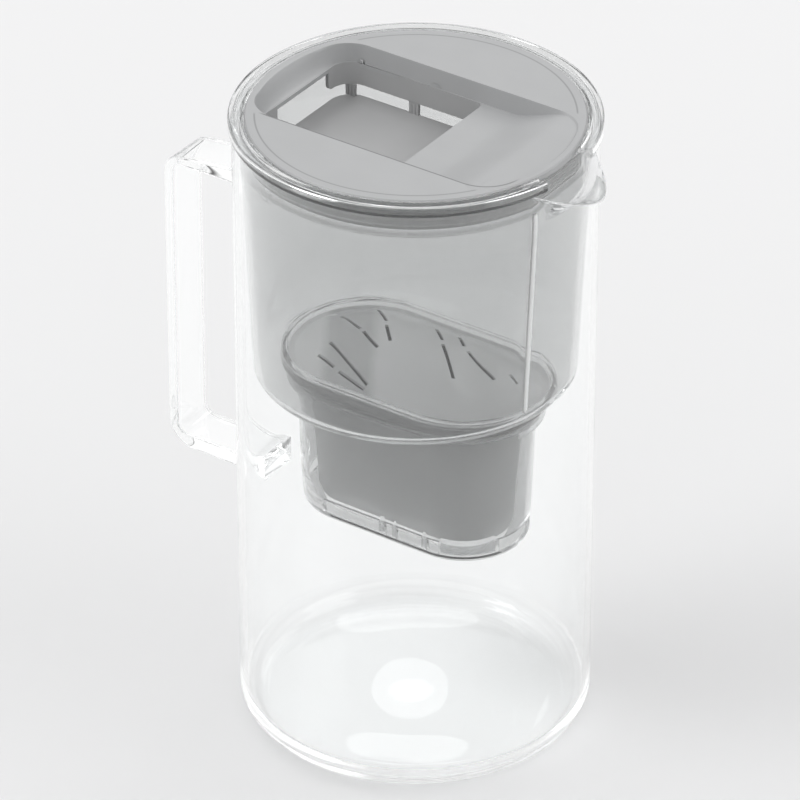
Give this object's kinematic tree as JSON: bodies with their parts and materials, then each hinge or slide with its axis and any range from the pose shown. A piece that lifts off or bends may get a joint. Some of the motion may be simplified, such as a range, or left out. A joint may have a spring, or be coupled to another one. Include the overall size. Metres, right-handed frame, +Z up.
{
  "type": "water filter pitcher",
  "caption": "Glass pitcher with strap handle and pouring spout, a drop-in hopper with filter pocket, a slotted filter cartridge and a round lid with recessed fill opening.",
  "frame": {"origin": "centre of the jug's base on the table", "axes": "+Z up along the jug's axis, +X towards the spout, -X towards the handle"},
  "size_m": [0.183, 0.1324, 0.2483],
  "materials": {
    "jug_glass": "clear polished",
    "handle_glass": "clear polished",
    "hopper_clear": "clear grey, polished",
    "lid_grey": "satin",
    "guard_grey": "satin",
    "seal_rubber": "soft matte",
    "cartridge_grey": "satin",
    "cap_grey": "satin",
    "screen_white": "fine mesh",
    "media_black": "granules in a bed",
    "outlet_white": "fine mesh"
  },
  "bodies": {
    "jug": {"jug_body": "jug_glass", "jug_handle": "handle_glass"},
    "hopper": {"hopper": "hopper_clear"},
    "lid": {"lid": "lid_grey", "splash_guard": "guard_grey", "lid_seal": "seal_rubber"},
    "cartridge": {"cartridge_shell": "cartridge_grey", "cartridge_cap": "cap_grey", "inlet_screen": "screen_white", "filter_media": "media_black", "outlet_screen": "outlet_white"}
  },
  "joints": [
    {"name": "hopper_lift", "type": "slide", "parent": "jug", "child": "hopper", "axis": [0, 0, 1], "range_m": [0, 0.17]},
    {"name": "lid_lift", "type": "slide", "parent": "hopper", "child": "lid", "axis": [0, 0, 1], "range_m": [0, 0.06]},
    {"name": "cartridge_lift", "type": "slide", "parent": "hopper", "child": "cartridge", "axis": [0, 0, 1], "range_m": [0, 0.06]}
  ]
}
